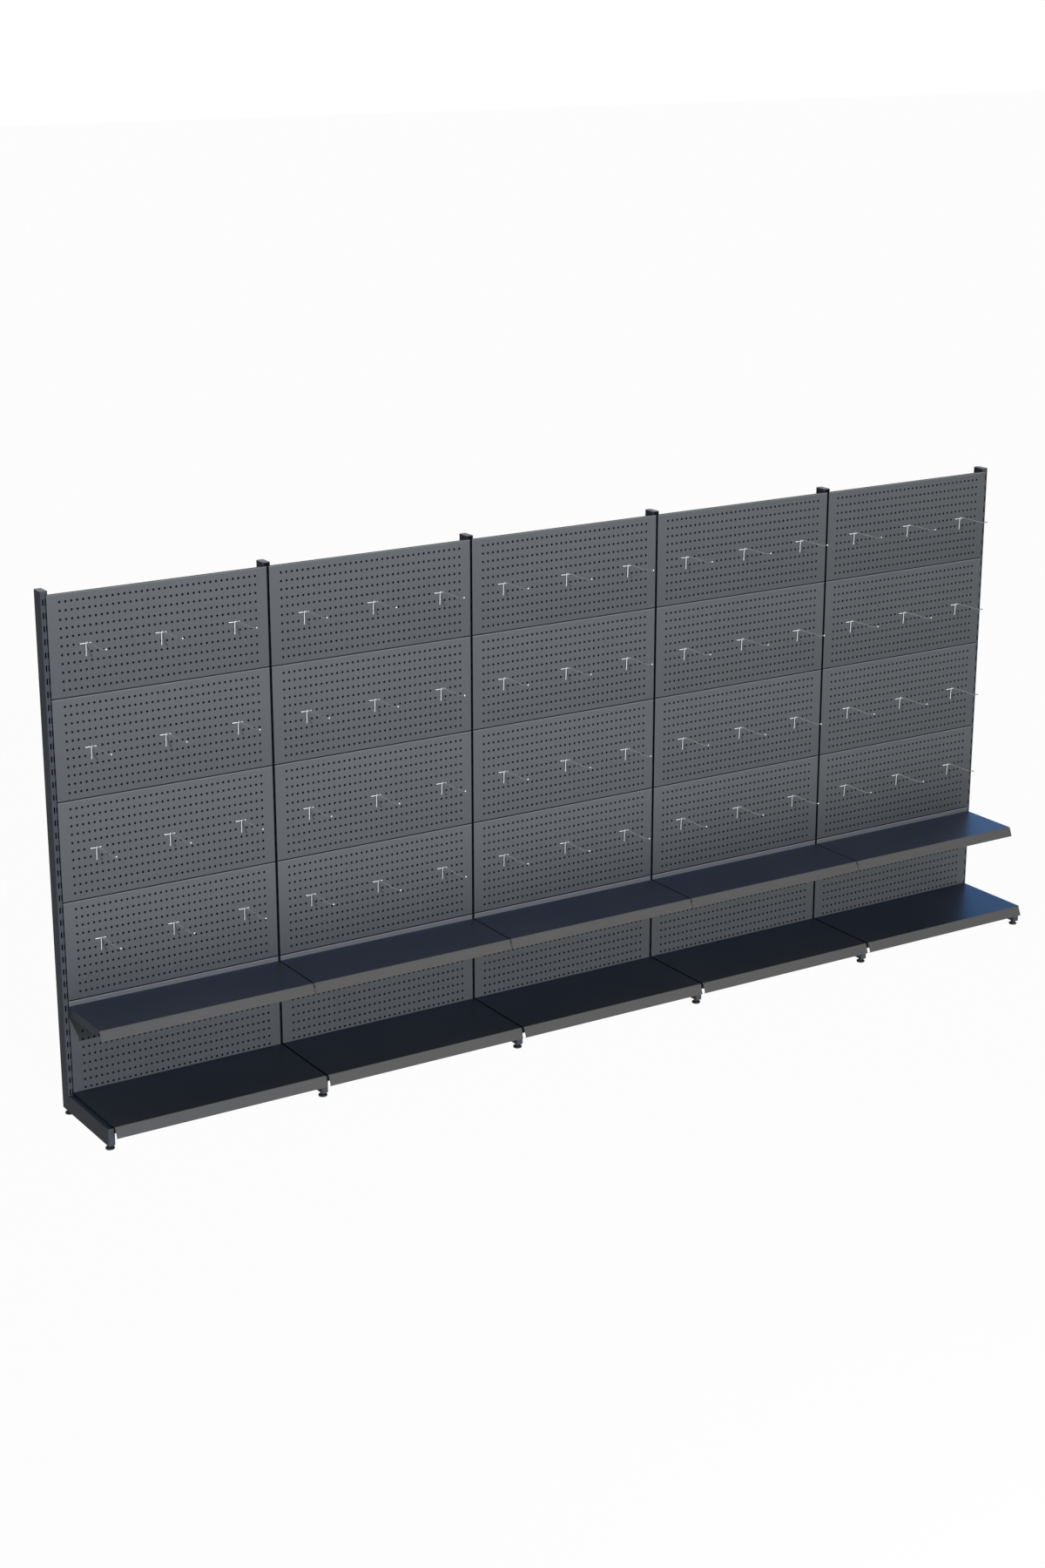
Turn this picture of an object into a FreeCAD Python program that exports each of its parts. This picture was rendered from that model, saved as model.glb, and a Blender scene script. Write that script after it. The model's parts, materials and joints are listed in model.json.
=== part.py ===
import FreeCAD, Part
import math
import os

# Gondola shelving run: slotted uprights on base legs, perforated back panels, one line of
# bracket-hung shelves over base decks, wire display hooks and levelling feet.
# Millimetres, +Z up, floor at Z = 0, +X along the run, goods side towards -Y.
# The pieces are modelled with the panels' front faces on Y = 0, and are moved at the end so
# that the origin is the middle of the footprint.

# Run
BAY_COUNT = 5
BAY_PITCH = 914.0             # upright centre to upright centre
SLOT_PITCH = 50.0
PANEL_ROWS = 5
UPPER_PANELS = 3              # rows in a bay's upper group of panels
SLOTS_PER_PANEL = 8
PANEL_BASE = 60.0             # panels' lower edge above the underside of the legs
MATING_GAP = 0.5              # loose pieces standing beside each other
SEAT_GAP = 0.1                # pieces hung against each other

# Uprights
UPRIGHT_WIDTH = 30.0
UPRIGHT_DEPTH = 60.0
UPRIGHT_WALL = 2.0
UPRIGHT_CORNER = 3.0
UPRIGHT_OVER = 11.0           # above the top panels
SLOT_LENGTH = 24.5
SLOT_WIDTH = 5.6
SLOT_SPACING = 10.4           # between the two slot columns
SLOT_DATUM = 28.75            # panel top edge to the first slot's middle
CAP_THICKNESS = 2.5
CAP_PLUG = 14.0
CAP_WALL = 2.0
CAP_CLEARANCE = 0.2

# Back panels
PANEL_SHEET = 0.8
PANEL_STANDOFF = 8.0          # panel face ahead of the upright face
PANEL_GAP = 9.6               # between the panels of neighbouring bays
PANEL_SEAM = 1.2              # between the panels of one bay
PANEL_BEND = 2.5
PEG_PITCH_X = 23.6
PEG_PITCH_Z = 33.6
PEG_RADIUS = 3.8
PEG_MARGIN_X = 40.0
PEG_MARGIN_Z = 25.0
TAB_REACH = 2.3               # tabs behind the upright's front wall
TAB_DROP = 5.0                # tabs and bracket hooks below their seat in the slot
LINER_DEPTH = 13.0            # panel face to the back of the closed pan behind the perforation
LINER_MARGIN = 12.0           # pan's walls inside the panel's upper and lower edges

# Levelling feet
FOOT_HEIGHT = 20.0            # floor to the underside of the legs
FOOT_RADIUS = 18.0
FOOT_PAD = 8.0
FOOT_CHAMFER = 1.8
FOOT_NUT_FLATS = 17.0
FOOT_STEM_RADIUS = 5.0
FOOT_STEM_LENGTH = 32.0       # stem above the leg's underside
FOOT_STEM_CLEARANCE = 0.08
BUSH_RADIUS = 9.0
BUSH_HEIGHT = 25.0
BUSH_PLATE = 3.0
FOOT_GAP = 0.3                # nut under the leg

# Base legs
LEG_HEIGHT = 70.0
LEG_REACH = 368.0             # leg front ahead of the panel face
LEG_WALL = 2.0
LEG_NOSE = 8.0                # radius of the leg's front corners
LEG_SHOULDER = 4.0            # radius of the leg's top edges
FRONT_FOOT_INSET = 23.0       # front foot behind the leg front
BOLT_RADIUS = 4.0
BOLT_CLEARANCE = 0.2
BOLT_HEAD_FLATS = 13.0
BOLT_HEAD = 5.3
BOLT_TAIL = 1.5
BOLT_LEVELS = (15.0, 42.0)    # above the leg's underside
NUT_HEIGHT = 6.5
NUT_CLEARANCE = 0.06

# Base decks
SHEET = 1.0
SHEET_BEND = 1.5
LIP_BEND = 4.0                # inside radius between a top sheet and its front lip
DECK_REACH = 384.0
DECK_RISE = 11.0              # deck top above the leg top
DECK_GAP = 8.0                # between the decks of neighbouring bays
DECK_LIP_GAP = 14.0           # between their front lips
DECK_LIP_DROP = 42.0
DECK_LIP_SPLAY = 18.0
HEM = 9.0
HEM_RISE = 1.5
DECK_RIB_DEPTH = 20.0
DECK_RIBS = (130.0, 240.0)    # rib middles ahead of the panel face
FRONT_RIB_SETBACK = 2.0       # front rib behind the leg fronts
FRONT_RIB_DEPTH = 34.0
RIB_WIDTH = 50.0
RIB_INSET = 24.0              # ends of the ribs and rear flanges inside the sheet

# Shelves and brackets
SHELF_SLOT = 32               # slot, counted from the top, that takes a bracket's upper hook
SHELF_OVER_SLOT = 8.75        # shelf top above that slot's middle
SHELF_REACH = 291.0
SHELF_GAP = 5.2
SHELF_LIP_DROP = 40.0
SHELF_LIP_SPLAY = 17.0
SHELF_FLANGE = 25.0
SHELF_RIB_DEPTH = 16.0
SHELF_RIB = 145.0
BRACKET_SHEET = 2.0
BRACKET_REACH = 282.0
BRACKET_RAKE = 9.0            # front end's lean
BRACKET_REAR_DEPTH = 42.0
BRACKET_FRONT_DEPTH = 27.0
BRACKET_FLANGE = 12.0
BRACKET_SLOTS = 2
BRACKET_FOOT = 18.0           # spine below the lowest hook's slot middle
HOOK_REACH = 5.0

# Wire hooks
WIRE_RADIUS = 2.0
WIRE_GAP = 0.3                # wire off the panel face
HOOK_ROW_HOLES = (5, 5, 5, 4)  # hole row of each line of hooks, counted from its panel's top
HOOKS_PER_PANEL = 3
HOOK_COLUMN_STEP = 13
HOOK_BEND = 3.0
HOOK_TAIL_REACH = 5.3
HOOK_TAIL_RISE = 9.0
HOOK_LEG = 50.0
HOOK_WELD = 0.8
HOOK_PRONG = 155.0
HOOK_PRONG_LIFT = 8.0
HOOK_PRONG_BEND = 6.0
HOOK_TIP_REACH = 35.0
HOOK_TIP_RISE = 8.5
HOOK_BALL_RADIUS = 3.6

# Tie rails
RAIL_HEIGHT = 40.0
RAIL_DEPTH = 20.0
RAIL_WALL = 1.5
RAIL_PLATE = 3.0
RAIL_PLATE_HEIGHT = 74.0
RAIL_PLATE_DEPTH = 36.0
RAIL_BELOW_TOP = 40.0         # upper rail's middle below the panels' top
RAIL_ABOVE_BASE = 62.0        # lower rail's middle above the panels' lower edge
SCREW_RADIUS = 2.4
SCREW_CLEARANCE = 0.1
SCREW_HEAD_RADIUS = 4.5
SCREW_HEAD = 3.0
SCREW_TIP = 6.0
SCREW_OFFSET = 28.0           # screws above and below a rail's middle

# Levels and places worked out from the sizes above
LEG_TOP = FOOT_HEIGHT + LEG_HEIGHT
PANEL_BOTTOM = FOOT_HEIGHT + PANEL_BASE
PANEL_PITCH = SLOTS_PER_PANEL * SLOT_PITCH
PANEL_TOP = PANEL_BOTTOM + PANEL_ROWS * PANEL_PITCH
PANEL_WIDTH = BAY_PITCH - PANEL_GAP
PANEL_HEIGHT = PANEL_PITCH - PANEL_SEAM
UPRIGHT_TOP = PANEL_TOP + UPRIGHT_OVER
UPRIGHT_BACK = PANEL_STANDOFF + UPRIGHT_DEPTH
UPRIGHT_MID_Y = PANEL_STANDOFF + UPRIGHT_DEPTH / 2
WALL_BACK = PANEL_STANDOFF + UPRIGHT_WALL
FRONT_FOOT_Y = FRONT_FOOT_INSET - LEG_REACH
DECK_TOP = LEG_TOP + DECK_RISE
SLOT_COUNT = PANEL_ROWS * SLOTS_PER_PANEL
BRACKET_INNER = SLOT_SPACING / 2 - SLOT_WIDTH / 2 + MATING_GAP / 2
RAIL_LEVELS = (PANEL_TOP - RAIL_BELOW_TOP, PANEL_BOTTOM + RAIL_ABOVE_BASE)
HALF_RUN = BAY_COUNT * BAY_PITCH / 2
X_AXIS = FreeCAD.Vector(1, 0, 0)
Y_AXIS = FreeCAD.Vector(0, 1, 0)
Z_AXIS = FreeCAD.Vector(0, 0, 1)


def upright_x(index):
    return index * BAY_PITCH - HALF_RUN


def slot_z(index):
    return PANEL_TOP - SLOT_DATUM - index * SLOT_PITCH


def panel_top(row):
    return PANEL_TOP - row * PANEL_PITCH - PANEL_SEAM / 2


def peg_columns():
    """X of the peg holes, from the bay's middle."""
    count = int((PANEL_WIDTH - 2 * PEG_MARGIN_X) // PEG_PITCH_X) + 1
    return [(i - (count - 1) / 2) * PEG_PITCH_X for i in range(count)]


def peg_rows():
    """Depth of the peg holes below a panel's top edge."""
    count = int((PANEL_HEIGHT - 2 * PEG_MARGIN_Z) // PEG_PITCH_Z) + 1
    return [PANEL_HEIGHT / 2 + (i - (count - 1) / 2) * PEG_PITCH_Z for i in range(count)]


SHELF_TOP = slot_z(SHELF_SLOT) + SHELF_OVER_SLOT


# Shape helpers

def block(x, y, z):
    """Box between three (low, high) pairs."""
    corner = FreeCAD.Vector(x[0], y[0], z[0])
    return Part.makeBox(x[1] - x[0], y[1] - y[0], z[1] - z[0], corner)


def moved(shape, x=0.0, y=0.0, z=0.0):
    copy = shape.copy()
    copy.translate(FreeCAD.Vector(x, y, z))
    return copy


def mirrored(shape):
    """The shape seen across the plane X = 0."""
    return shape.mirror(FreeCAD.Vector(0, 0, 0), X_AXIS)


def fused(shapes):
    whole = shapes[0].multiFuse(shapes[1:])
    return whole.removeSplitter()


def in_yz(u, v):
    return FreeCAD.Vector(0, u, v)


def in_xy(u, v):
    return FreeCAD.Vector(u, v, 0)


def corner_arc(before, corner, after, radius):
    """Start, middle and end of the arc that rounds a corner of an outline."""
    back = (before - corner).normalize()
    ahead = (after - corner).normalize()
    half = back.getAngle(ahead) / 2
    run = radius / math.tan(half)
    inward = (back + ahead).normalize()
    middle = corner + inward * (radius / math.sin(half) - radius)
    return corner + back * run, middle, corner + ahead * run


def rounded_wire(points, radii, closed=True):
    """Wire through the points, each corner rounded by its own radius (0 leaves it sharp)."""
    count = len(points)
    arcs = []
    for i, point in enumerate(points):
        inner = closed or 0 < i < count - 1
        if inner and radii[i] > 0:
            arcs.append(corner_arc(points[i - 1], point, points[(i + 1) % count], radii[i]))
        else:
            arcs.append((point,))
    edges = []
    for i, arc in enumerate(arcs):
        if len(arc) == 3:
            edges.append(Part.Arc(*arc).toShape())
        if closed or i < count - 1:
            start = arc[-1]
            end = arcs[(i + 1) % count][0]
            if start.distanceToPoint(end) > 1e-6:
                edges.append(Part.makeLine(start, end))
    return Part.Wire(edges)


def rounded_rectangle(x, y, radius):
    corners = [in_xy(x[0], y[0]), in_xy(x[1], y[0]), in_xy(x[1], y[1]), in_xy(x[0], y[1])]
    return rounded_wire(corners, [radius] * 4)


def plate_x(outline, x):
    """Plate with a (Y, Z) outline between two X values."""
    points = [in_yz(u, v) for u, v in outline]
    face = Part.Face(rounded_wire(points, [0] * len(points)))
    return moved(face.extrude(X_AXIS * (x[1] - x[0])), x=x[0])


def offset_left(path, distance):
    """The path moved to the left of its own direction, with mitred corners."""
    result = []
    for i, (u, v) in enumerate(path):
        normals = []
        if i > 0:
            normals.append(left_normal(path[i - 1], path[i]))
        if i < len(path) - 1:
            normals.append(left_normal(path[i], path[i + 1]))
        nu = sum(n[0] for n in normals) / len(normals)
        nv = sum(n[1] for n in normals) / len(normals)
        size = nu * nu + nv * nv
        result.append((u + nu * distance / size, v + nv * distance / size))
    return result


def left_normal(start, end):
    du = end[0] - start[0]
    dv = end[1] - start[1]
    length = math.hypot(du, dv)
    return -dv / length, du / length


def bent_sheet(path, sheet, bends, x):
    """Sheet bent along a (Y, Z) path, which is its right-hand face, between two X values.

    The bends are the inside radii at the path's corners.
    """
    other = offset_left(path, sheet)
    near = [0.0]
    far = [0.0]
    for i in range(1, len(path) - 1):
        into = left_normal(path[i - 1], path[i])
        out = left_normal(path[i], path[i + 1])
        turns_left = into[0] * out[1] - into[1] * out[0] > 0
        bend = bends[i - 1]
        near.append(bend + sheet if turns_left else bend)
        far.append(bend if turns_left else bend + sheet)
    near.append(0.0)
    far.append(0.0)
    points = [in_yz(u, v) for u, v in path + other[::-1]]
    face = Part.Face(rounded_wire(points, near + far[::-1]))
    return moved(face.extrude(X_AXIS * (x[1] - x[0])), x=x[0])


def hexagon(flats, height):
    """Upright hexagonal prism on Z = 0, two of its flats facing X."""
    radius = flats / math.sqrt(3)
    corners = []
    for i in range(7):
        angle = math.radians(30 + 60 * i)
        corners.append(in_xy(radius * math.cos(angle), radius * math.sin(angle)))
    return Part.Face(Part.makePolygon(corners)).extrude(Z_AXIS * height)


def rod(radius, start, end):
    direction = end - start
    return Part.makeCylinder(radius, direction.Length, start, direction)


def wire_rod(points, radii):
    """Round wire along straight runs joined by arcs."""
    path = rounded_wire(points, radii, closed=False)
    start = points[0]
    section = Part.Wire(Part.makeCircle(WIRE_RADIUS, start, points[1] - start))
    return path.makePipeShell([section], True, False)


def slot_cutter(length, width, depth):
    """Round-ended slot standing along Z, centred on the origin and cut along Y."""
    radius = width / 2
    run = length / 2 - radius
    body = block((-radius, radius), (0, depth), (-run, run))
    ends = [Part.makeCylinder(radius, depth, FreeCAD.Vector(0, 0, z), Y_AXIS) for z in (-run, run)]
    return fused([body] + ends)


def slot_hook(level, reach, start, offset):
    """(Y, Z) outline of a hook standing in the slot at this level, from Y = start.

    The offset is from the slot's middle line to the hook's farther side, where the round end is highest.
    """
    radius = SLOT_WIDTH / 2
    end_rise = radius - math.sqrt(radius ** 2 - offset ** 2)
    low = level - SLOT_LENGTH / 2 + end_rise + SEAT_GAP
    high = level + TAB_DROP
    back = WALL_BACK + reach
    throat = WALL_BACK + SEAT_GAP
    return [(start, low), (throat, low), (throat, low - TAB_DROP), (back, low - TAB_DROP),
            (back, high), (start, high)]


# Uprights, their caps and the tie rails between them

def foot_bush(x_half, y, y_half):
    """Plate across a hollow section with a bush for a foot's stem, not yet bored."""
    plate = block((-x_half, x_half), (y - y_half, y + y_half), (FOOT_HEIGHT, FOOT_HEIGHT + BUSH_PLATE))
    boss = Part.makeCylinder(BUSH_RADIUS, BUSH_HEIGHT, FreeCAD.Vector(0, y, FOOT_HEIGHT))
    return plate.fuse(boss)


def stem_bore(y):
    radius = FOOT_STEM_RADIUS + FOOT_STEM_CLEARANCE
    start = FreeCAD.Vector(0, y, FOOT_HEIGHT - BUSH_PLATE)
    return Part.makeCylinder(radius, BUSH_HEIGHT + 2 * BUSH_PLATE, start)


def screw_levels():
    return [level + side * SCREW_OFFSET for level in RAIL_LEVELS for side in (-1, 1)]


def bolt_levels():
    return [FOOT_HEIGHT + level for level in BOLT_LEVELS]


def upright_tube():
    """The upright at X = 0, without the screw holes in its sides."""
    half = UPRIGHT_WIDTH / 2
    inner = half - UPRIGHT_WALL
    outline = rounded_rectangle((-half, half), (PANEL_STANDOFF, UPRIGHT_BACK), UPRIGHT_CORNER)
    bore = rounded_rectangle((-inner, inner), (WALL_BACK, UPRIGHT_BACK - UPRIGHT_WALL),
                             UPRIGHT_CORNER - UPRIGHT_WALL)
    rise = Z_AXIS * (UPRIGHT_TOP - FOOT_HEIGHT)
    tube = moved(Part.Face(outline).extrude(rise).cut(Part.Face(bore).extrude(rise)), z=FOOT_HEIGHT)
    web = UPRIGHT_WALL / 2
    bush = foot_bush(inner + web, UPRIGHT_MID_Y, UPRIGHT_DEPTH / 2 - UPRIGHT_WALL + web)
    nut = hexagon(BOLT_HEAD_FLATS, NUT_HEIGHT)
    nut.rotate(FreeCAD.Vector(0, 0, 0), X_AXIS, -90)
    nuts = [moved(nut, y=WALL_BACK, z=level) for level in bolt_levels()]
    solid = fused([tube, bush] + nuts)
    cutter = slot_cutter(SLOT_LENGTH, SLOT_WIDTH, UPRIGHT_WALL + 2 * MATING_GAP)
    cuts = [stem_bore(UPRIGHT_MID_Y)]
    for index in range(SLOT_COUNT):
        for side in (-1, 1):
            cuts.append(moved(cutter, side * SLOT_SPACING / 2, PANEL_STANDOFF - MATING_GAP, slot_z(index)))
    for level in bolt_levels():
        wall_hole = rod(BOLT_RADIUS + BOLT_CLEARANCE, FreeCAD.Vector(0, PANEL_STANDOFF - 1, level),
                        FreeCAD.Vector(0, WALL_BACK, level))
        nut_hole = rod(BOLT_RADIUS + NUT_CLEARANCE, FreeCAD.Vector(0, WALL_BACK, level),
                       FreeCAD.Vector(0, WALL_BACK + NUT_HEIGHT + 1, level))
        cuts += [wall_hole, nut_hole]
    return solid.cut(Part.makeCompound(cuts))


def with_screw_holes(tube, sides):
    """Holes for the rail screws in the sides (-1 left, 1 right) that carry a rail."""
    radius = SCREW_RADIUS + SCREW_CLEARANCE
    half = UPRIGHT_WIDTH / 2
    cuts = []
    for side in sides:
        for level in screw_levels():
            start = FreeCAD.Vector(side * (half - UPRIGHT_WALL - 1), UPRIGHT_MID_Y, level)
            end = FreeCAD.Vector(side * (half + 1), UPRIGHT_MID_Y, level)
            cuts.append(rod(radius, start, end))
    return tube.cut(Part.makeCompound(cuts))


def upright_cap():
    half = UPRIGHT_WIDTH / 2
    plate = Part.Face(rounded_rectangle((-half, half), (PANEL_STANDOFF, UPRIGHT_BACK), UPRIGHT_CORNER))
    plate = moved(plate.extrude(Z_AXIS * CAP_THICKNESS), z=UPRIGHT_TOP)
    inset = UPRIGHT_WALL + CAP_CLEARANCE
    x = half - inset
    y = (PANEL_STANDOFF + inset, UPRIGHT_BACK - inset)
    plug = block((-x, x), y, (UPRIGHT_TOP - CAP_PLUG, UPRIGHT_TOP))
    hollow = block((CAP_WALL - x, x - CAP_WALL), (y[0] + CAP_WALL, y[1] - CAP_WALL),
                   (UPRIGHT_TOP - CAP_PLUG - 1, UPRIGHT_TOP))
    corner_edges = [e for e in plug.Edges if e.BoundBox.ZLength > CAP_PLUG / 2]
    plug = plug.makeFillet(UPRIGHT_CORNER - UPRIGHT_WALL, corner_edges)
    return plate.fuse(plug.cut(hollow))


def tie_rail(level):
    """Tube with a screwed plate at each end, from the bay's middle."""
    half = (BAY_PITCH - UPRIGHT_WIDTH) / 2
    tube_half = half - RAIL_PLATE
    y = UPRIGHT_MID_Y - RAIL_DEPTH / 2
    z = level - RAIL_HEIGHT / 2
    tube = block((-tube_half, tube_half), (y, y + RAIL_DEPTH), (z, z + RAIL_HEIGHT))
    bore = block((-tube_half, tube_half), (y + RAIL_WALL, y + RAIL_DEPTH - RAIL_WALL),
                 (z + RAIL_WALL, z + RAIL_HEIGHT - RAIL_WALL))
    pieces = [tube.cut(bore)]
    for side in (-1, 1):
        x = sorted((side * half, side * tube_half))
        plate = block(x, (UPRIGHT_MID_Y - RAIL_PLATE_DEPTH / 2, UPRIGHT_MID_Y + RAIL_PLATE_DEPTH / 2),
                      (level - RAIL_PLATE_HEIGHT / 2, level + RAIL_PLATE_HEIGHT / 2))
        for offset in (-SCREW_OFFSET, SCREW_OFFSET):
            start = FreeCAD.Vector(x[0] - 1, UPRIGHT_MID_Y, level + offset)
            end = FreeCAD.Vector(x[1] + 1, UPRIGHT_MID_Y, level + offset)
            plate = plate.cut(rod(SCREW_RADIUS + SCREW_CLEARANCE, start, end))
        pieces.append(plate)
    return fused(pieces)


def rail_screw(side):
    """Screw into an upright at X = 0 from its left (-1) or right (1), its head on a rail's plate."""
    half = UPRIGHT_WIDTH / 2
    seat = side * (half + RAIL_PLATE)
    tip = side * (half - UPRIGHT_WALL - SCREW_TIP)
    origin = FreeCAD.Vector(0, UPRIGHT_MID_Y, 0)
    shank = rod(SCREW_RADIUS, origin + X_AXIS * tip, origin + X_AXIS * seat)
    head = rod(SCREW_HEAD_RADIUS, origin + X_AXIS * seat, origin + X_AXIS * (seat + side * SCREW_HEAD))
    head = head.makeChamfer(SCREW_HEAD / 3, [e for e in head.Edges
                                             if abs(e.BoundBox.Center.x) > abs(seat) + SCREW_HEAD / 2
                                             and e.BoundBox.XLength < SCREW_HEAD / 2])
    return shank.fuse(head)


# Base legs, their bolts and the levelling feet

def base_leg():
    half = UPRIGHT_WIDTH / 2
    seat = PANEL_BOTTOM - MATING_GAP
    outer = leg_body(half, LEG_REACH, LEG_TOP, LEG_NOSE, LEG_SHOULDER)
    inner = leg_body(half - LEG_WALL, LEG_REACH - LEG_WALL, LEG_TOP - LEG_WALL,
                     LEG_NOSE - LEG_WALL, LEG_SHOULDER - LEG_WALL)
    notch = block((-half, half), (-MATING_GAP, PANEL_STANDOFF), (seat, LEG_TOP))
    inner_notch = block((-half, half), (-MATING_GAP - LEG_WALL, PANEL_STANDOFF),
                        (seat - LEG_WALL, LEG_TOP))
    rear_wall = block((-half, half), (PANEL_STANDOFF - LEG_WALL, PANEL_STANDOFF), (FOOT_HEIGHT, LEG_TOP))
    cavity = inner.cut(inner_notch).cut(rear_wall)
    shell = outer.cut(notch).cut(cavity)
    web = LEG_WALL / 2
    bush = foot_bush(half - web, FRONT_FOOT_Y, FRONT_FOOT_INSET - LEG_WALL - LEG_NOSE / 2)
    leg = fused([shell, bush])
    cuts = [stem_bore(FRONT_FOOT_Y)]
    for level in bolt_levels():
        cuts.append(rod(BOLT_RADIUS + BOLT_CLEARANCE, FreeCAD.Vector(0, PANEL_STANDOFF - LEG_WALL - 1, level),
                        FreeCAD.Vector(0, PANEL_STANDOFF + 1, level)))
    return leg.cut(Part.makeCompound(cuts))


def leg_body(half, reach, top, nose, shoulder):
    """Block with a rounded front and rounded top edges, from the upright's face forwards."""
    outline = rounded_wire([in_xy(-half, PANEL_STANDOFF), in_xy(-half, -reach), in_xy(half, -reach),
                            in_xy(half, PANEL_STANDOFF)], [0, nose, nose, 0])
    body = moved(Part.Face(outline).extrude(Z_AXIS * (top - FOOT_HEIGHT)), z=FOOT_HEIGHT)
    rim = [e for e in body.Edges if e.BoundBox.ZMin > top - 0.01 and e.BoundBox.YMin < PANEL_STANDOFF - 0.01]
    return body.makeFillet(shoulder, rim)


def leg_bolt():
    """Bolt at Z = 0 through the leg's rear wall and the upright's front wall into its nut."""
    seat = PANEL_STANDOFF - LEG_WALL
    head = hexagon(BOLT_HEAD_FLATS, BOLT_HEAD)
    head.rotate(FreeCAD.Vector(0, 0, 0), X_AXIS, -90)
    head = moved(head, y=seat - BOLT_HEAD)
    end = WALL_BACK + NUT_HEIGHT + BOLT_TAIL
    return head.fuse(rod(BOLT_RADIUS, FreeCAD.Vector(0, seat, 0), FreeCAD.Vector(0, end, 0)))


def levelling_foot():
    """Round pad with a hexagon nut and a stem, standing on the origin."""
    profile = [(0, 0), (FOOT_RADIUS - FOOT_CHAMFER, 0), (FOOT_RADIUS, FOOT_CHAMFER),
               (FOOT_RADIUS, FOOT_PAD - FOOT_CHAMFER), (FOOT_RADIUS - FOOT_CHAMFER, FOOT_PAD), (0, FOOT_PAD)]
    points = [FreeCAD.Vector(r, 0, z) for r, z in profile]
    pad = Part.Face(Part.makePolygon(points + points[:1])).revolve(FreeCAD.Vector(0, 0, 0), Z_AXIS, 360)
    nut = moved(hexagon(FOOT_NUT_FLATS, FOOT_HEIGHT - FOOT_GAP - FOOT_PAD), z=FOOT_PAD)
    stem = Part.makeCylinder(FOOT_STEM_RADIUS, FOOT_HEIGHT + FOOT_STEM_LENGTH - FOOT_PAD,
                             FreeCAD.Vector(0, 0, FOOT_PAD))
    return fused([pad, nut, stem])


# Back panels

def back_panel():
    """Perforated tray with its top edge on Z = 0 and its middle on X = 0."""
    half = PANEL_WIDTH / 2
    depth = PANEL_STANDOFF - SEAT_GAP
    outer = tray_block(half, 0, depth, -PANEL_HEIGHT, 0, PANEL_BEND)
    inner = tray_block(half - PANEL_SHEET, PANEL_SHEET, depth + 1, PANEL_SHEET - PANEL_HEIGHT,
                       -PANEL_SHEET, PANEL_BEND - PANEL_SHEET)
    tray = outer.cut(inner)
    tabs = []
    for index in (0, SLOTS_PER_PANEL - 1):
        level = PANEL_SEAM / 2 - SLOT_DATUM - index * SLOT_PITCH
        outline = slot_hook(level, TAB_REACH, depth - 2 * PANEL_SHEET, PANEL_SHEET / 2)
        for x in ((-half, PANEL_SHEET - half), (half - PANEL_SHEET, half)):
            tabs.append(plate_x(outline, x))
    panel = fused([tray, liner_pan()] + tabs)
    holes = [Part.makeCylinder(PEG_RADIUS, PANEL_SHEET + 2, FreeCAD.Vector(x, -1, -z), Y_AXIS)
             for x in peg_columns() for z in peg_rows()]
    return panel.cut(Part.makeCompound(holes))


def liner_pan():
    """Pan welded to the back of the perforated sheet, between the uprights, that closes it from behind."""
    half = (BAY_PITCH - UPRIGHT_WIDTH) / 2 - MATING_GAP
    low = LINER_MARGIN - PANEL_HEIGHT
    pan = block((-half, half), (PANEL_SHEET, LINER_DEPTH), (low, -LINER_MARGIN))
    bore = block((PANEL_SHEET - half, half - PANEL_SHEET), (PANEL_SHEET, LINER_DEPTH - PANEL_SHEET),
                 (low + PANEL_SHEET, -LINER_MARGIN - PANEL_SHEET))
    return pan.cut(bore)


def tray_block(half, front, back, low, high, bend):
    """Block whose four front edges are rounded."""
    body = block((-half, half), (front, back), (low, high))
    rim = [e for e in body.Edges if e.BoundBox.YMax < front + 0.01]
    return body.makeFillet(bend, rim)


# Base decks, shelves and their brackets

def rib(middle, width, depth, top, x):
    """Channel under a sheet, its open side closed by the sheet."""
    front = -middle - width / 2
    back = -middle + width / 2
    path = [(back, top), (back, top - depth), (front, top - depth), (front, top)]
    return bent_sheet(path[::-1], SHEET, [SHEET_BEND] * 2, x)


def lipped_sheet(top, reach, flange, drop, splay, x):
    """Sheet with a flange down its rear edge and a splayed, hemmed lip at its front."""
    rear = -MATING_GAP
    front = -reach
    path = [(rear, top - flange), (rear, top), (front, top), (front - splay, top - drop),
            (front - splay + HEM, top - drop - HEM_RISE)]
    return bent_sheet(path, SHEET, [SHEET_BEND, LIP_BEND, SHEET_BEND], x)


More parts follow.
